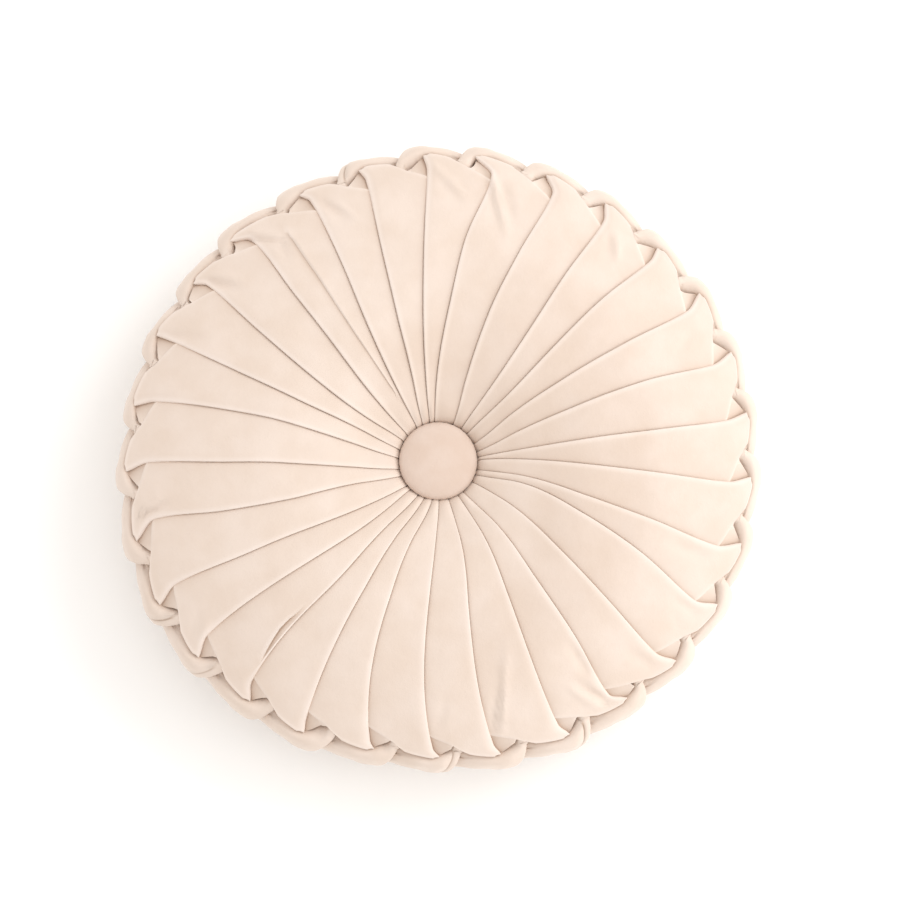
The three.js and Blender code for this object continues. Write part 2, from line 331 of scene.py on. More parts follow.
# Painted light on the cover, at most 1: painted highlight over a fold and over an outer ridge, and painted
# shade beside a fold, beside one on the small flap, on a band under a ridge, in each mm of a groove, around
# the button and on the face's right, where its slope faces away from the light
FOLD_HIGHLIGHT = 0.33
RIDGE_HIGHLIGHT = 0.25
CREASE_SHADE = 0.24
FLAP_SHADE = 0.35
BAND_SHADE = 0.5
GROOVE_SHADE = 0.6
BUTTON_SHADE = 0.12
RIGHT_SHADE = 0.12

# Puckers of the cloth around a button's edge, how many and their height in mm, and its rings and sides
PUCKERS = 34
PUCKER_HEIGHT = 0.12
BUTTON_RINGS = 40
BUTTON_SIDES = 160

# Unevenness of the stuffed faces: seed of the draws, wave length and height in mm, and waves drawn for each
FACE_WAVES = ((4, 38, 0.25), (9, 13, 0.09))
WAVES_DRAWN = 14

# Patterns of the velvet in mm: the clouds where hands pressed it, its crumples and its pile. The real pile
# stands at about 0.3 mm, too fine to show, so it is drawn at 0.91 mm.
CLOUD_WIDTH = 22.2
CRUMPLE_WIDTH = 3.85
PILE_WIDTH = 0.91

# Colour of the bloom on the pile's tips
SHEEN_COLOUR = 0xFFF9F4

# Sockets of a Mix node that is set to colours
MIX_SHARE, MIX_FIRST, MIX_SECOND, MIX_RESULT = 0, 6, 7, 2

# The picture: its width in pixels, and how far its middle lies right of and above the button in pixels
PICTURE_WIDTH = 900
PICTURE_MIDDLE = (11.5, 10.0)
SENSOR_WIDTH = 36.0

# The studio in metres
FLOOR_HALF = 4.0
KEY_PLACE = (1.9, 1.4, 2.55)
SIDE_PLACE = (3.2, -0.4, 0.85)
LIGHT_AIM = (0.0, 0.0, 0.05)
LIGHT_SIZE = 2.0
LIGHT_COLOUR = 0xFAFDFF


def linear(code):
    """The linear colour of an sRGB hex value."""
    parts = [((code >> shift) & 255) / 255 for shift in (16, 8, 0)]
    return tuple(part / 12.92 if part <= 0.04045 else ((part + 0.055) / 1.055) ** 2.4 for part in parts)


class CushionFolds(bpy.types.PropertyGroup):
    """Sizes of the folds on both faces."""

    roll: FloatProperty(
        name="Roll", description="Radius of a fold's rolled edge",
        default=0.72 * MM, min=0.2 * MM, unit="LENGTH",
    )
    button_roll: FloatProperty(
        name="Roll at button", description="Radius of a fold's rolled edge beside the button",
        default=0.45 * MM, min=0.2 * MM, unit="LENGTH",
    )
    tip_roll: FloatProperty(
        name="Roll at tip", description="Radius of a fold's rolled edge at its tip",
        default=1.6 * MM, min=0.2 * MM, unit="LENGTH",
    )
    tuck: FloatProperty(
        name="Tuck", description="Cloth hidden under the next fold", default=5.0 * MM, min=MM, unit="LENGTH"
    )
    setback: FloatProperty(
        name="Setback", description="How far a panel's low corner lies inside its tip",
        default=12.3 * MM, min=0, unit="LENGTH",
    )
    ridge_roll: FloatProperty(
        name="Ridge roll", description="Radius of a panel's outer ridge",
        default=1.2 * MM, min=0.2 * MM, unit="LENGTH",
    )


class CushionRim(bpy.types.PropertyGroup):
    """Sizes of the slanted bands around the rim."""

    lean: FloatProperty(
        name="Lean", description="Turn of a band from the face to the back",
        default=math.radians(14.9), unit="ROTATION",
    )
    dive: FloatProperty(
        name="Dive", description="Depth of a band under the ridge", default=5.5 * MM, min=MM, unit="LENGTH"
    )


class CushionVelvet(bpy.types.PropertyGroup):
    """Colours of the velvet, and of its painted highlight and painted shade."""

    cover: FloatVectorProperty(
        name="Cover", description="Pile of the cover", subtype="COLOR", size=3,
        default=linear(0xD9C6B7), min=0, max=1,
    )
    # Colour of the painted highlight over folds, also the lighter tone of the pressed clouds
    ridge: FloatVectorProperty(
        name="Ridge", description="Pile where it opens over a fold", subtype="COLOR", size=3,
        default=linear(0xEFE2DA), min=0, max=1,
    )
    # Colour of the painted shade in creases
    crease: FloatVectorProperty(
        name="Crease", description="Pile where it closes in a crease", subtype="COLOR", size=3,
        default=linear(0xA58469), min=0, max=1,
    )
    button: FloatVectorProperty(
        name="Button", description="Pile of the buttons", subtype="COLOR", size=3,
        default=linear(0xD1BAAA), min=0, max=1,
    )


class CushionStudio(bpy.types.PropertyGroup):
    """Camera, light and floor."""

    distance: FloatProperty(name="Distance", description="Camera to button", default=2.2, unit="LENGTH")
    view_width: FloatProperty(
        name="View width", description="Width seen at the button", default=0.513, unit="LENGTH"
    )
    from_left: FloatProperty(
        name="From left", description="Camera's turn to the left of the face", default=math.radians(2.0),
        unit="ROTATION",
    )
    from_below: FloatProperty(
        name="From below", description="Camera's drop below the face", default=math.radians(6.0),
        unit="ROTATION",
    )
    key_power: FloatProperty(
        name="Key light", description="Power of the key light", default=33.0, min=0, unit="POWER"
    )
    side_power: FloatProperty(
        name="Side light", description="Power of the low light from the right",
        default=40.0, min=0, unit="POWER",
    )
    floor_glow: FloatProperty(
        name="Floor glow", description="Light that the floor gives off", default=0.03, min=0
    )
    sky: FloatProperty(name="Fill", description="Strength of the light from all around", default=1.09, min=0)
    floor: FloatVectorProperty(
        name="Floor", description="Floor colour", subtype="COLOR", size=3,
        default=linear(0xFAF8F5), min=0, max=1,
    )


def mix(a, b, t):
    """The value a share t of the way from a to b."""
    return a + (b - a) * t


def smooth(low, high, value):
    """Eased step from 0 at low to 1 at high."""
    t = np.clip((np.asarray(value, float) - low) / (high - low), 0, 1)
    return t * t * (3 - 2 * t)


def curve(xs, ys, x):
    """Smooth curve through points, read at x."""
    xs = np.asarray(xs, float)
    ys = np.asarray(ys, float)
    slopes = np.concatenate([[ys[1] - ys[0]], ys[2:] - ys[:-2], [ys[-1] - ys[-2]]])
    slopes /= np.concatenate([[xs[1] - xs[0]], xs[2:] - xs[:-2], [xs[-1] - xs[-2]]])
    x = np.clip(x, xs[0], xs[-1])
    low = np.clip(np.searchsorted(xs, x, side="right") - 1, 0, len(xs) - 2)
    span = xs[low + 1] - xs[low]
    t = (x - xs[low]) / span
    rise = ys[low + 1] - ys[low]
    a = slopes[low] * span - rise
    b = rise - slopes[low + 1] * span
    return mix(ys[low], ys[low + 1], t) + t * (1 - t) * (a * (1 - t) + b * t)


def table_columns(rows):
    """One array for each field of a table's rows."""
    return {name: np.array([getattr(row, name) for row in rows]) for name in rows[0]._fields}


def fold_row(number):
    """The fold of a number, counted on around the cushion."""
    return FOLDS[number % PLEATS]


def tip_angle(number):
    """Angle of a fold's tip, which goes on past a full turn."""
    return fold_row(number).tip + 360 * (number // PLEATS)


def outline_reach(angle):
    """Radius of the line through the tips of the face at an angle around the cushion."""
    numbers = range(-1, PLEATS + 2)
    tips = [tip_angle(number) for number in numbers]
    return np.interp(np.mod(angle, 360), tips, [fold_row(number).reach for number in numbers])


class Face:
    """The side of the cushion that shows, seen from above."""

    rows = FACE_ROWS
    turn = 1.0
    up = 1.0

    def __init__(self, folds):
        self.setback = folds.setback / MM
        self.starts = []
        for band in range(PLEATS):
            angles, places = edge_angles(self, band + 1)
            self.starts.append(np.interp(BAND_OFFSET, places, angles))

    def fold(self, number, radius):
        row = fold_row(number)
        angles = (row.button, row.inner, row.middle, row.outer, row.rim, row.tip)
        return curve(STATIONS + (row.reach,), angles, radius) + 360 * (number // PLEATS)

    def tip(self, number):
        return tip_angle(number)

    def reach(self, number):
        return fold_row(number).reach

    def start(self, number):
        """Angle where a rim band's raised edge leaves the face."""
        return self.starts[number % PLEATS] + 360 * (number // PLEATS)


class Back:
    """The side that lies down, seen from below, so that its angles run the other way."""

    rows = BACK_ROWS
    turn = -1.0
    up = -1.0

    def __init__(self, face, lean):
        self.setback = face.setback
        self.face = face
        self.lean = lean

    def tip(self, number):
        pitch = tip_angle(1 - number) - tip_angle(-number)
        return self.start(number) - BAND_OFFSET * pitch

    def fold(self, number, radius):
        even = self.tip(0) + number * 360 / PLEATS
        return mix(even, self.tip(number), np.asarray(radius) / MEAN_REACH)

    def reach(self, number):
        return outline_reach(-self.tip(number))

    def start(self, number):
        return self.lean - self.face.start(-number)


def height_at(side, share):
    """Height of a side's surface at a share of the rim radius."""
    return curve([row.share for row in side.rows], [row.height for row in side.rows], share)


def depth_at(side, share):
    """Depth of a side's folds at a share of the rim radius."""
    return curve([row.share for row in side.rows], [row.depth for row in side.rows], share)


def panel_sink(share, place, side):
    """How far a panel lies below its rolled edge at a place across it."""
    across = np.clip(place, 0, 1)
    return depth_at(side, share) * (0.22 * np.exp(-across / 0.035) + 0.45 * (1 - across) ** 1.8)


def blunt(place):
    """How far the rounding of a pinched tip takes its point back, in mm."""
    return 1.3 * smooth(0.9, 1.0, place) - 0.5


def ridge_fall(place):
    """Share of the setback by which the outer ridge lies inside the tips at a place across its panel."""
    return curve(RIDGE_SHARES, RIDGE_FALLS, place)


def edge_line(side, pleat, place):
    """Radius and height of a panel's outer ridge, and of the edge of the small flap below its low corner."""
    setback = side.setback
    ring = mix(side.reach(pleat - 1), side.reach(pleat), place) - blunt(place)
    ridge_radius = ring - setback * ridge_fall(place)
    share = ridge_radius / ring
    ridge_height = height_at(side, share) - side.up * panel_sink(share, place, side)
    end = side.reach(pleat) - setback * ridge_fall(FLAP_END)
    along = np.clip(place / FLAP_END, 0, 1)
    flap_radius = mix(side.reach(pleat - 1) - 0.6, end, along)
    low = height_at(side, 1.0) - side.up * FLAP_DROP
    corner_share = 1 - setback * ridge_fall(FLAP_END) / ring
    corner = height_at(side, corner_share) - side.up * panel_sink(corner_share, FLAP_END, side)
    flap_height = mix(low, corner, along)
    on_flap = place < FLAP_END
    edge_radius = np.where(on_flap, np.maximum(flap_radius, ridge_radius), ridge_radius)
    edge_height = np.where(on_flap, flap_height, ridge_height)
    return ridge_radius, ridge_height, edge_radius, edge_height, edge_radius / ring


def edge_angles(side, pleat):
    """Angles at which a panel's edge passes places across it, and those places."""
    place = np.linspace(0, 1, 61)
    radius = np.minimum(edge_line(side, pleat, place)[2], side.reach(pleat) + 1)
    return mix(side.fold(pleat - 1, radius), side.fold(pleat, radius), place), place


# Across one pleat: share of the width between its folds, then steps aside and down in rolls, tucks and depths
PleatColumn = namedtuple("PleatColumn", "place roll_step tuck_step roll_sink depth_sink")
PANEL_PLACES = (
    0.01, 0.03, 0.06, 0.11, 0.18, 0.25, 0.32, 0.36, 0.40,
    0.45, 0.50, 0.56, 0.64, 0.72, 0.80, 0.87, 0.92, 0.96,
)


def pleat_columns():
    """Columns of points across a pleat, from its tuck under one fold to around the next."""
    tucked = [
        PleatColumn(0, 0, -1.0, 0, 1.1),
        PleatColumn(0, 0, -0.5, 0, 0.95),
        PleatColumn(0, 0, -0.15, 0, 0.82),
    ]
    shown = [PleatColumn(place, -place, 0, 0, 0) for place in PANEL_PLACES]
    angles = [math.radians(angle) for angle in (0, 30, 60, 90, 120, 150, 180)]
    rolled = [PleatColumn(1, math.sin(a) - 1, 0, 1 - math.cos(a), 0) for a in angles]
    returned = [PleatColumn(1, -1, -0.3, 2.05, 0), PleatColumn(1, -1, -0.8, 2.3, 0)]
    return tucked + shown + rolled + returned


def camera_axes(studio):
    """Right, up and backward directions of the camera."""
    back = Vector((-math.sin(studio.from_left), -math.sin(studio.from_below), 1)).normalized()
    right = Vector((0, 1, 0)).cross(back).normalized()
    return right, back.cross(right).normalized(), back


def seen_at(across, up, height):
    """The place at a height that the camera sees beside the button by across and up, all in mm."""
    studio = bpy.context.scene.cushion_studio
    right, above, back = (np.array(axis) for axis in camera_axes(studio))
    button = np.array((*BUTTON_CENTRE, BUTTON_TOP_HEIGHT))
    spot = button + across[..., None] * right + up[..., None] * above
    eye = button + back * studio.distance / MM
    ray = spot - eye
    return (eye + ray * ((height - eye[2]) / ray[..., 2])[..., None])[..., :2]


def polar(side, angle, radius, height, level, share):
    """Points of the cover at angles and radii measured in the picture.

    On the face they lie where the camera sees them at their level. The back follows the outline of the rim
    and is round about its button.
    """
    turn = np.radians(angle) * side.turn
    across = radius * np.cos(turn)
    up = radius * np.sin(turn)
    across, up, height, level = np.broadcast_arrays(across, up, height, level)
    plain = np.stack([across + BUTTON_CENTRE[0], up + BUTTON_CENTRE[1]], axis=-1)
    place = mix(plain, seen_at(across, up, level), np.broadcast_to(share, across.shape)[..., None])
    return np.concatenate([place, height[..., None]], axis=-1)


def added_fold(side, pleat, radius, place):
    """Places across a panel drawn to its added fold, the height that it adds and the painted highlight and
    shade beside it.
    """
    rows = [row for row in ADDED_FOLDS if side.up > 0 and row.panel == pleat]
    if not rows:
        return np.broadcast_to(place, (len(radius), len(place))), 0.0, 0.0
    along = [row.radius for row in rows]
    size = np.interp(radius, along, [row.height for row in rows])
    low, high = side.fold(pleat - 1, radius), side.fold(pleat, radius)
    middle = (np.interp(radius, along, [row.angle for row in rows]) - low) / (high - low)
    kept = (0, 0.40, 0.45, 0.50, 1)
    drawn = np.array([np.interp(place, kept, (0, at - 0.012, at, at + 0.012, 1)) for at in middle[:, 0]])
    place = mix(place, drawn, smooth(0, 1, np.interp(radius, along, [row.gather for row in rows])))
    away = (place - middle) * np.radians(high - low) * radius
    shown = smooth(0, 0.06, place) * (1 - smooth(0.97, 1.0, place))
    lift = size * np.where(away < 0, np.exp(away / 3.5), -np.exp(-away / 2.5)) * shown
    # Painted highlight on one side of the added fold and painted shade on the other
    light_and_shade_beside = np.minimum(size, 1) * np.where(away < 0, 0.6 * np.exp(away), -0.8 * np.exp(-away / 1.5)) * shown
    return place, lift, light_and_shade_beside


def painted_button_and_right_shade(angle, radius):
    """Painted shade on the face around the button, and on its right, where the slope faces away from the
    light.
    """
    middle = 60 * (1 - smooth(45, 100, radius))
    right_shade_share = smooth(-0.3, 0.8, np.cos(np.radians(angle - middle))) * (1 - smooth(110, 140, radius))
    return BUTTON_SHADE * np.exp((25 - radius) / 12) + RIGHT_SHADE * right_shade_share


# One pleat from the button to its outer ridge: angles in degrees, radii, heights and width between its folds
# in mm, the radius of the outline across it and the painted highlight and shade along its added fold
PleatRows = namedtuple("PleatRows", "angle radius height width ring added_pile")


def pleat_rows(side, folds, pleat, column):
    """Lays one pleat from the button to its outer ridge."""
    place = column["place"]
    share = ROW_SHARES[:, None]
    spread, lift, added_pile = added_fold(side, pleat, share * side.reach(pleat), place)
    ring = mix(side.reach(pleat - 1), side.reach(pleat), spread) - blunt(spread)
    radius = share * ring - side.setback * ridge_fall(spread) * share**4
    low = side.fold(pleat - 1, radius)
    high = side.fold(pleat, radius)
    width = np.radians(high - low) * radius
    roll = mix(folds.button_roll, folds.roll, smooth(20, 75, radius)) / MM
    roll = mix(roll, folds.tip_roll / MM, smooth(0.8, 0.97, share))
    tuck = np.minimum(folds.tuck / MM, 0.45 * width)
    aside = column["roll_step"] * roll + column["tuck_step"] * tuck
    angle = mix(low, high, spread) + np.degrees(aside / radius)
    local = radius / ring
    panel = np.where(column["depth_sink"] == 0, panel_sink(local, spread, side), 0)
    sink = column["roll_sink"] * roll + column["depth_sink"] * depth_at(side, local) + panel - lift
    height = height_at(side, local)
    tilt = np.arctan((height_at(side, local + 0.01) - height) / (0.01 * ring))
    pillow = 0.9 * np.sin(np.pi * np.clip(place, 0, 1)) * np.exp(-(((radius - 27) / 7) ** 2))
    height = height - side.up * (sink * np.cos(tilt) - pillow)
    return PleatRows(angle, radius + side.up * sink * np.sin(tilt), height, width, ring[-1], added_pile)


def edge_rows(side, folds, pleat, place, body):
    """Lays the rest of a pleat, down its flap and around its rolled edge to the edge that the bands hide.

    Returns rows of angle, radius and height, and the flap's length at each place.
    """
    angle, radius, height = body.angle[-1], body.radius[-1], body.height[-1]
    ridge_radius, ridge_height, edge_radius, edge_height, _ = edge_line(side, pleat, place)
    flap = edge_radius - ridge_radius
    rows = []
    for step in FLAP_STEPS:
        flap_radius = radius + flap * step
        hollow = 0.9 * (1 - math.exp(-step / 0.08)) * (1 - step) * np.clip(flap / 6, 0, 1)
        flap_height = mix(height, edge_height - (ridge_height - height), step) - side.up * hollow
        reach = np.minimum(flap_radius, side.reach(pleat) + 1)
        shift = mix(side.fold(pleat - 1, reach), side.fold(pleat, reach), place)
        shift = shift - mix(side.fold(pleat - 1, radius), side.fold(pleat, radius), place)
        rows.append((angle + shift, flap_radius, flap_height))
    angle, radius, height = rows[-1]
    neck = smooth(*NECK_START, place) * (1 - smooth(*NECK_END, place))
    roll = folds.ridge_roll / MM * (1 - 0.85 * neck) * np.where(place < 0.3, 0.7, 1.0)
    for degrees in EDGE_TURNS:
        turned = math.radians(degrees)
        pinch = neck * (1 - math.cos(turned))
        out = roll * (math.sin(turned) - 0.5) * (1 - neck) - 0.8 * pinch
        drop = roll * (math.cos(math.pi / 6) - math.cos(turned)) + 0.6 * pinch
        rows.append((angle, radius + out, height - side.up * drop))
    for inward, down in HIDDEN_STEPS:
        rows.append((angle, radius - inward, height - side.up * down))
    return rows, flap


def pleat_painted_light(side, column, body, angle, radius, flap):
    """Painted highlight over a pleat's fold and outer ridge, and painted shade beside the fold before."""
    place = column["place"]
    count = len(ROW_SHARES)
    past = len(angle) - count
    width = np.concatenate([body.width, np.repeat(body.width[-1:], past, axis=0)])
    # Painted highlight along the fold's rolled edge, weaker near the button
    highlight_strength = FOLD_HIGHLIGHT * mix(0.5, 1, smooth(35, 80, radius))
    roll_highlight = highlight_strength * np.exp(-(((1 - place) * width / 1.5) ** 2)) * (column["roll_sink"] <= 1)
    inside = np.concatenate([(1 - ROW_SHARES) * MEAN_REACH, np.zeros(past)])
    # Painted highlight along the outer ridge, fading down the small flap
    outer = RIDGE_HIGHLIGHT * np.exp(-((inside / 1.3) ** 2))[:, None] * (column["depth_sink"] == 0)
    outer[count:] *= 1 - smooth(0.4, 2.0, flap)
    # Painted shade beside the fold before, weaker inside a radius of about 125 mm
    crease = CREASE_SHADE * (np.exp(-place * width / 1.1) + np.exp(-place * width / 4.5)) / 2
    crease = crease * mix(0.4, 1, smooth(125, 150, radius))
    painted_light_and_shade = np.maximum(roll_highlight, outer) - crease * (1 - outer) * (place < 1)
    # Painted shade around the button and on the face's right
    if side.up > 0:
        painted_light_and_shade -= painted_button_and_right_shade(angle, radius)
    painted_light_and_shade[:count] += body.added_pile
    # Painted shade on the small flap beside the fold
    painted_light_and_shade[count:] -= FLAP_SHADE * np.exp(-place * width[-1] / 5.0) * (place < 1)
    return painted_light_and_shade


def pleated_grid(side, folds):
    """Points of the pleated cloth of one face, from the button to the hidden edge under the rim bands.

    With them comes the painted light at each: a painted highlight up to 1 over an edge, and a painted shade
    down to -1 in a crease.
    """
    column = table_columns(pleat_columns())
    grid = []
    # Painted highlight and shade of each pleat, column by column
    pile = []
    for pleat in range(PLEATS):
        body = pleat_rows(side, folds, pleat, column)
        edge, flap = edge_rows(side, folds, pleat, column["place"], body)
        angle, radius, height = (np.concatenate([rows, past]) for rows, past in zip(body, zip(*edge)))
        share = np.clip(radius / body.ring, 0, 1)
        if side.up > 0:
            points = polar(side, angle, radius, height, height_at(side, share), smooth(0.12, 0.25, share))
        else:
            points = polar(side, angle, radius, height, RIM_LEVEL, share**2)
        grid.append(points)
        pile.append(pleat_painted_light(side, column, body, angle, radius, flap))
    return np.concatenate(grid, axis=1), np.concatenate(pile, axis=1)


def across_band(stations, share):
    """Blends the values at the named places of a band to each share of its width."""
    value = stations[0] + 0 * share
    for index in range(len(stations) - 1):
        step = smooth(BAND_PLACES[index], BAND_PLACES[index + 1], share)
        value = value + step * (stations[index + 1] - stations[index])
    return value


def lay_double(share, depth, run):
    """Draws a band's points to the groove of its doubled edge, and gives the depth of the groove at each."""
    groove = np.zeros(share.shape)
    if not depth:
        return share, groove
    share = share.copy()
    middle = share[:, GROOVE_COLUMN]
    for step in (-1, 1):
        beside = share[:, GROOVE_COLUMN + step]
        share[:, GROOVE_COLUMN + step] = mix(beside, middle + step * GROOVE_WIDTH, run)
    groove[:, GROOVE_COLUMN] = depth * run
    return share, groove


def ridge_above(side, band, angle):
    """The panel edge above a band: its radius, height, share of the rim radius and pinch."""
    before = np.interp(angle, *edge_angles(side, band))
    after = np.interp(angle, *edge_angles(side, band + 1))
    past = angle > side.tip(band)
    lines = zip(edge_line(side, band + 1, after)[2:], edge_line(side, band, before)[2:])
    radius, height, share = (np.where(past, second, first) for second, first in lines)
    return radius, height, np.clip(share, 0, 1), np.where(past, smooth(*NECK_START, after), 0)


def band_half(side, rim):
    """Points of the rim bands from under one face's ridges to the middle of the rim.

    The fourth value of a point is the painted shade there: where the band comes out from under a ridge, and
    in a groove.
    """
    along = np.linspace(0, 1, BAND_STEPS)
    rows = table_columns(BAND_ROWS)
    knots = np.linspace(0, 1, len(BAND_ROWS))
    read = {name: curve(knots, values, along)[:, None] for name, values in rows.items()}
    column = table_columns(BAND_COLUMNS)
    raised = read["raised"]
    even_share = mix(column["level_share"], column["rolled_share"], raised)
    aside = mix(column["level_step"], column["rolled_step"], raised)
    sink = mix(column["level_depth"], column["rolled_depth"], raised)
    doubled = DOUBLED_BANDS if side.up > 0 else {}
    groove_run = smooth(0.05, 0.2, along) * (1 - smooth(0.55, 0.8, along))
    along = along[:, None]
    fade = 1 - smooth(0, 0.25, along)
    low_edge = mix(1, mix(0.3, 1, smooth(0.06, 0.26, along)), column["rolled_share"] < 0.5)
    under_ridge = 1 - smooth(0.25, 0.4, along)
    grid = []
    for band in range(PLEATS):
        share, groove = lay_double(even_share, doubled.get(band, 0), groove_run)
        section_out = across_band([read[name + "_out"] for name in BAND_NAMES], share)
        section_height = across_band([read[name + "_height"] for name in BAND_NAMES], share)
        if side.up < 0:
            section_height = 2 * RIM_MIDDLE - section_height
            section_out = np.minimum(section_out, mix(BAND_ROWS[-1].tip_out, section_out, 0.35))
        base = mix(side.start(band - 1), side.start(band), share)
        edge_radius, edge_height, edge_share, neck = ridge_above(side, band, base)
        beside = 1 - neck
        angle = base - math.degrees(rim.lean) * read["lean"]
        real = np.mod(angle * side.turn, 360)
        reach = mix(side.reach(band), outline_reach(real), smooth(0, 0.5, along))
        start_out = edge_radius - reach - 4.0 * beside
        start_height = edge_height - side.up * (rim.dive / MM * beside + 0.1 * neck)
        rim_out = np.interp(real, [row.angle for row in RIM_ROWS], [row.out for row in RIM_ROWS])
        out = section_out + fade * (start_out - section_out[0]) + rim_out * smooth(0.05, 0.4, along)
        height = section_height + fade * (start_height - section_height[0])
        d_out = np.gradient(out, axis=0)
        d_height = np.gradient(height, axis=0)
        length = np.hypot(d_out, d_height) + 1e-9
        deep = sink * mix(smooth(0, 0.12, along), 1, beside) * low_edge + groove
        radius = reach + out + deep * d_height * side.up / length
        height = height - deep * d_out * side.up / length
        turned = angle + np.degrees(aside / radius)
        if side.up > 0:
            level = mix(RIM_LEVEL, height_at(side, edge_share), fade)
            points = polar(side, turned, radius, height, level, 1.0)
        else:
            points = polar(side, turned, radius, height, RIM_LEVEL, 1 - fade * (1 - edge_share**2))
        # Painted shade where the band comes out from under a ridge, and in a groove
        past_edge = np.maximum(reach + out - edge_radius, 0)
        painted_shade = BAND_SHADE * np.exp(-past_edge / 0.9) * mix(0.3, 1, beside) * under_ridge
        painted_light_and_shade = -painted_shade - GROOVE_SHADE * groove
        grid.append(np.concatenate([points, painted_light_and_shade[..., None]], axis=-1))
    return np.stack(grid)


def band_grid(face_side, back_side, rim):
    """Points and painted shade of the rim bands, from under the face's ridges to under the back's."""
    face = band_half(face_side, rim)
    back = band_half(back_side, rim)
    order = [(1 - band) % PLEATS for band in range(PLEATS)]
    back = back[order][:, ::-1, ::-1]
    both = np.concatenate([face, back[:, 1:]], axis=1)
    return np.concatenate(list(both), axis=1)


def drag_lines(points):
    """Height that the drag lines add to points of the face."""
    x = points[..., 0] - BUTTON_CENTRE[0]
    y = points[..., 1] - BUTTON_CENTRE[1]
    total = np.zeros(x.shape)
    for crease in CREASES:
        turn, end_turn = math.radians(crease.angle), math.radians(crease.end_angle)
        start = crease.radius * np.array([math.cos(turn), math.sin(turn)])
        way = crease.end_radius * np.array([math.cos(end_turn), math.sin(end_turn)]) - start
        length = np.linalg.norm(way)
        way /= length
        run = ((x - start[0]) * way[0] + (y - start[1]) * way[1]) / length
        off = (x - start[0]) * way[1] - (y - start[1]) * way[0]
        fade = smooth(-0.35, 0.15, run) * (1 - smooth(0.5, 1.15, run))
        total += crease.height * fade * np.exp(-((off / crease.width) ** 2))
    return total


def cloth_noise(points, seed, wave, size):
    """Soft unevenness of stuffed cloth: a sum of slanted waves."""
    rng = np.random.default_rng(seed)
    total = np.zeros(points.shape[:-1])
    for _ in range(WAVES_DRAWN):
        direction = rng.normal(size=3)
        direction /= np.linalg.norm(direction)
        length = wave * rng.uniform(0.6, 1.8)
        total += np.sin(points @ direction * 2 * np.pi / length + rng.uniform(0, 2 * np.pi))
    return total * size / math.sqrt(WAVES_DRAWN)


def add_object(name, data):
    """Puts a new object into the scene."""
    item = bpy.data.objects.new(name, data)
    bpy.context.scene.collection.objects.link(item)
    return item


def sheet(name, points, painted_light_and_shade, material):
    """Makes a smooth piece of cloth from a grid of points that closes around the cushion."""
    rows, columns = points.shape[:2]
    points = points.copy()
    points[..., 2] = np.maximum(points[..., 2], TABLE_GAP)
    index = np.arange(rows * columns).reshape(rows, columns)
    near, far = index[:-1], index[1:]
    quads = np.stack([near, far, np.roll(far, -1, 1), np.roll(near, -1, 1)], axis=-1).reshape(-1, 4)
    mesh = bpy.data.meshes.new(name)
    mesh.from_pydata((points.reshape(-1, 3) * MM).tolist(), [], quads.tolist())
    mesh.polygons.foreach_set("use_smooth", [True] * len(quads))
    # Painted highlight and painted shade of each point, which the velvet mixes into its colour
    layer = mesh.attributes.new("painted_light_and_shade", "FLOAT", "POINT")
    layer.data.foreach_set("value", np.ascontiguousarray(painted_light_and_shade, dtype=np.float32).ravel())
    mesh.update()
    mesh.materials.append(material)
    return add_object(name, mesh)


def join_frame(piece, nodes):
    """Hangs the piece under the frame's root and hides the solids that it stands for."""
    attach(piece, "root")
    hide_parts(*nodes)


def add_node(tree, kind, settings=None, inputs=None):
    """Adds a node, sets its properties, and sets or links its inputs."""
    node = tree.nodes.new(kind)
    for name, value in (settings or {}).items():
        setattr(node, name, value)
    for name, value in (inputs or {}).items():
        if isinstance(value, bpy.types.NodeSocket):
            tree.links.new(value, node.inputs[name])
        else:
            node.inputs[name].default_value = value
    return node


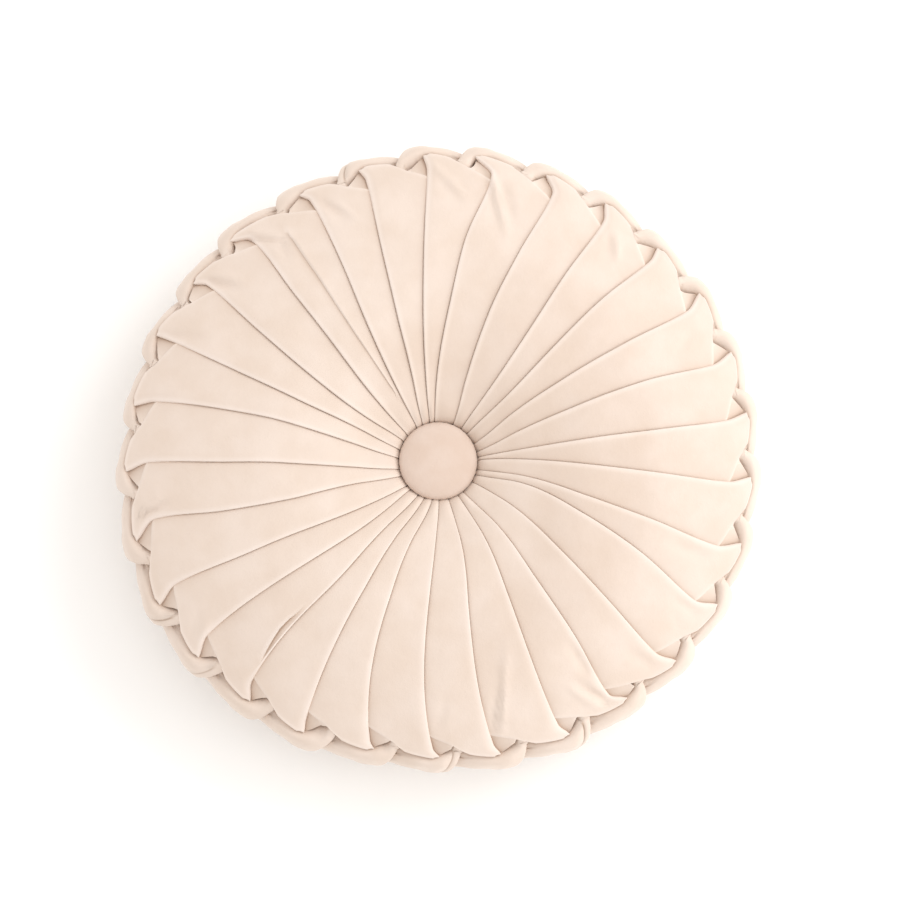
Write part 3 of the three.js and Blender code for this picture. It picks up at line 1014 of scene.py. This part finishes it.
def short_pile_velvet(name, colour, tone_and_highlight_colour, crease_shade_colour):
    """Polyester velvet with a short dense pile.

    The pile gives no gloss, only a pale bloom where it is seen on edge, and it lies in faint clouds
    where hands have pressed it. A painted highlight lightens it over a fold, and a painted shade darkens it
    in a crease.
    """
    material = bpy.data.materials.new(name)
    material.use_nodes = True
    tree = material.node_tree
    tree.nodes.clear()
    place = add_node(tree, "ShaderNodeTexCoord").outputs["Object"]
    clouds, crumples, pile = (
        add_node(
            tree, "ShaderNodeTexNoise",
            inputs={"Vector": place, "Scale": 1 / (width * MM), "Detail": detail},
        ).outputs["Fac"]
        for width, detail in ((CLOUD_WIDTH, 4.0), (CRUMPLE_WIDTH, 3.0), (PILE_WIDTH, 2.0))
    )
    tone = add_node(
        tree, "ShaderNodeMapRange",
        inputs={"Value": clouds, "From Min": 0.35, "From Max": 0.65, "To Max": 0.2},
    )
    # Painted light stored on the mesh: above 0 a painted highlight, below 0 a painted shade
    painted_light_and_shade = add_node(tree, "ShaderNodeAttribute", {"attribute_name": "painted_light_and_shade"}).outputs["Fac"]
    painted_highlight, painted_shade = (
        add_node(tree, "ShaderNodeMapRange", inputs={"Value": painted_light_and_shade, "From Max": most}) for most in (1, -1)
    )
    shown = (*colour, 1)
    # Mixes in the lighter tone of the clouds, then the painted highlight and the painted shade
    for share, second in ((tone, tone_and_highlight_colour), (painted_highlight, tone_and_highlight_colour), (painted_shade, crease_shade_colour)):
        shown = add_node(
            tree, "ShaderNodeMix", {"data_type": "RGBA"},
            {MIX_SHARE: share.outputs["Result"], MIX_FIRST: shown, MIX_SECOND: (*second, 1)},
        ).outputs[MIX_RESULT]
    soft_bump = add_node(
        tree, "ShaderNodeBump", inputs={"Height": crumples, "Strength": 0.3, "Distance": 0.6 * MM}
    ).outputs["Normal"]
    bump = add_node(
        tree, "ShaderNodeBump",
        inputs={"Height": pile, "Strength": 0.2, "Distance": 0.5 * MM, "Normal": soft_bump},
    ).outputs["Normal"]
    shader = add_node(
        tree, "ShaderNodeBsdfPrincipled",
        inputs={
            "Base Color": shown,
            "Roughness": 0.95,
            "IOR": 1.45,
            "Specular IOR Level": 0.2,
            "Sheen Weight": 0.4,
            "Sheen Roughness": 0.45,
            "Sheen Tint": (*linear(SHEEN_COLOUR), 1),
            "Normal": bump,
        },
    )
    output = add_node(tree, "ShaderNodeOutputMaterial")
    tree.links.new(shader.outputs["BSDF"], output.inputs["Surface"])
    return material


def cover_velvet(settings):
    """The velvet of the cover, made once for all its pieces."""
    found = bpy.data.materials.get("short_pile_velvet")
    return found or short_pile_velvet("short_pile_velvet", settings.cover, settings.ridge, settings.crease)


def both_sides(scene):
    """The face and the back as the scene's sizes make them."""
    face = Face(scene.cushion_folds)
    return face, Back(face, math.degrees(scene.cushion_rim.lean))


class CUSHION_OT_pleated_faces(bpy.types.Operator):
    """Builds the pleated cloth of the face and of the back"""

    bl_idname = "cushion.pleated_faces"
    bl_label = "Pleated faces"

    def execute(self, context):
        scene = context.scene
        for name, side in zip(("face_pleats", "back_pleats"), both_sides(scene)):
            # The second grid holds the painted highlight and shade of each point
            points, pile = pleated_grid(side, scene.cushion_folds)
            # The back's angles run the other way
            if side.turn < 0:
                points, pile = points[:, ::-1], pile[:, ::-1]
            points[..., 2] += sum(cloth_noise(points, *wave) for wave in FACE_WAVES)
            if side.up > 0:
                points[..., 2] += drag_lines(points)
            piece = sheet(name, points, pile, cover_velvet(scene.cushion_velvet))
            join_frame(piece, ["cover"])
        return {"FINISHED"}


class CUSHION_OT_rim_bands(bpy.types.Operator):
    """Builds the bands of cloth that cross the rim between the two faces"""

    bl_idname = "cushion.rim_bands"
    bl_label = "Rim bands"

    def execute(self, context):
        scene = context.scene
        bands = band_grid(*both_sides(scene), scene.cushion_rim)
        # The fourth value of each point is its painted shade
        piece = sheet("rim_bands", bands[..., :3], bands[..., 3], cover_velvet(scene.cushion_velvet))
        join_frame(piece, ["cover"])
        return {"FINISHED"}


class CUSHION_OT_buttons(bpy.types.Operator):
    """Builds the covered button of each face"""

    bl_idname = "cushion.buttons"
    bl_label = "Covered buttons"

    def execute(self, context):
        scene = context.scene
        settings = scene.cushion_velvet
        material = short_pile_velvet("button_velvet_pile", settings.button, settings.ridge, settings.crease)
        along = np.linspace(0, 1, BUTTON_RINGS)
        knots = np.linspace(0, 1, len(BUTTON_ROWS))
        radius = curve(knots, [row.radius for row in BUTTON_ROWS], along)[:, None]
        height = curve(knots, [row.height for row in BUTTON_ROWS], along)[:, None]
        turn = np.linspace(0, 2 * np.pi, BUTTON_SIDES, endpoint=False)[None, :]
        puckered = smooth(19, 22, radius) * (1 - smooth(3.5, 6, height))
        spread = radius + PUCKER_HEIGHT * np.sin(PUCKERS * turn) * puckered
        for name, node, seat, up in (
            ("button_top", "button_front", FACE_SEAT_HEIGHT, 1),
            ("button_under", "button_back", BACK_SEAT_HEIGHT, -1),
        ):
            x = spread * np.cos(turn) + BUTTON_CENTRE[0]
            y = up * spread * np.sin(turn) + BUTTON_CENTRE[1]
            z = seat + up * height + 0 * turn
            points = np.stack([x, y, z], axis=-1)
            piece = sheet(name, points, np.zeros(points.shape[:2]), material)
            join_frame(piece, [node])
        return {"FINISHED"}


def soft_light(name, place, power):
    """Adds a large round light that looks at the cushion."""
    data = bpy.data.lights.new(name, "AREA")
    data.shape = "DISK"
    data.size = LIGHT_SIZE
    data.energy = power
    data.color = linear(LIGHT_COLOUR)
    lamp = add_object(name, data)
    lamp.location = place
    lamp.rotation_euler = (Vector(LIGHT_AIM) - Vector(place)).to_track_quat("-Z", "Y").to_euler()


class CUSHION_OT_stage(bpy.types.Operator):
    """Sets up the pale floor, the soft studio light and the camera"""

    bl_idname = "cushion.stage"
    bl_label = "Stage"

    def execute(self, context):
        scene = context.scene
        studio = scene.cushion_studio
        mesh = bpy.data.meshes.new("floor")
        corners = [(x * FLOOR_HALF, y * FLOOR_HALF, 0) for x, y in ((-1, -1), (1, -1), (1, 1), (-1, 1))]
        mesh.from_pydata(corners, [], [(0, 1, 2, 3)])
        floor = add_object("floor", mesh)

        # Matt paper: no gloss, and a faint glow that melts its edge into the white
        material = bpy.data.materials.new("matt_paper")
        material.use_nodes = True
        shader = material.node_tree.nodes["Principled BSDF"]
        shader.inputs["Base Color"].default_value = (*studio.floor, 1)
        shader.inputs["Roughness"].default_value = 0.9
        shader.inputs["Emission Color"].default_value = (1, 1, 1, 1)
        shader.inputs["Emission Strength"].default_value = studio.floor_glow
        mesh.materials.append(material)

        aim = Vector((*BUTTON_CENTRE, BUTTON_TOP_HEIGHT)) * MM
        right, above, back = camera_axes(studio)
        data = bpy.data.cameras.new("camera")
        data.sensor_width = SENSOR_WIDTH
        data.lens = SENSOR_WIDTH * studio.distance / studio.view_width
        camera = add_object("camera", data)
        pixel = studio.view_width / PICTURE_WIDTH
        middle = right * PICTURE_MIDDLE[0] + above * PICTURE_MIDDLE[1]
        camera.location = aim + middle * pixel + back * studio.distance
        camera.rotation_euler = Matrix((right, above, back)).transposed().to_euler()
        scene.camera = camera

        world = bpy.data.worlds.new("studio")
        world.use_nodes = True
        sky = world.node_tree.nodes["Background"]
        sky.inputs["Color"].default_value = (1, 1, 1, 1)
        sky.inputs["Strength"].default_value = studio.sky
        scene.world = world
        soft_light("key", KEY_PLACE, studio.key_power)
        soft_light("side", SIDE_PLACE, studio.side_power)
        scene.view_settings.view_transform = "Standard"
        return {"FINISHED"}


class CUSHION_PT_panel(bpy.types.Panel):
    """Lists the pieces and their sizes"""

    bl_label = "Round pleated cushion"
    bl_idname = "CUSHION_PT_panel"
    bl_space_type = "VIEW_3D"
    bl_region_type = "UI"
    bl_category = "Cushion"

    def draw(self, context):
        for operator in OPERATORS:
            self.layout.operator(operator.bl_idname)
        for name in GROUPS:
            group = getattr(context.scene, name)
            box = self.layout.box()
            for field in group.__annotations__:
                box.prop(group, field)


GROUPS = {
    "cushion_folds": CushionFolds,
    "cushion_rim": CushionRim,
    "cushion_velvet": CushionVelvet,
    "cushion_studio": CushionStudio,
}
OPERATORS = (CUSHION_OT_pleated_faces, CUSHION_OT_rim_bands, CUSHION_OT_buttons, CUSHION_OT_stage)
CLASSES = (*GROUPS.values(), *OPERATORS, CUSHION_PT_panel)


def register():
    for item in CLASSES:
        bpy.utils.register_class(item)
    for name, group in GROUPS.items():
        setattr(bpy.types.Scene, name, PointerProperty(type=group))


def unregister():
    for name in GROUPS:
        delattr(bpy.types.Scene, name)
    for item in reversed(CLASSES):
        bpy.utils.unregister_class(item)


def main():
    register()
    bpy.ops.cushion.pleated_faces()
    bpy.ops.cushion.rim_bands()
    bpy.ops.cushion.buttons()
    bpy.ops.cushion.stage()


if __name__ == "__main__":
    main()
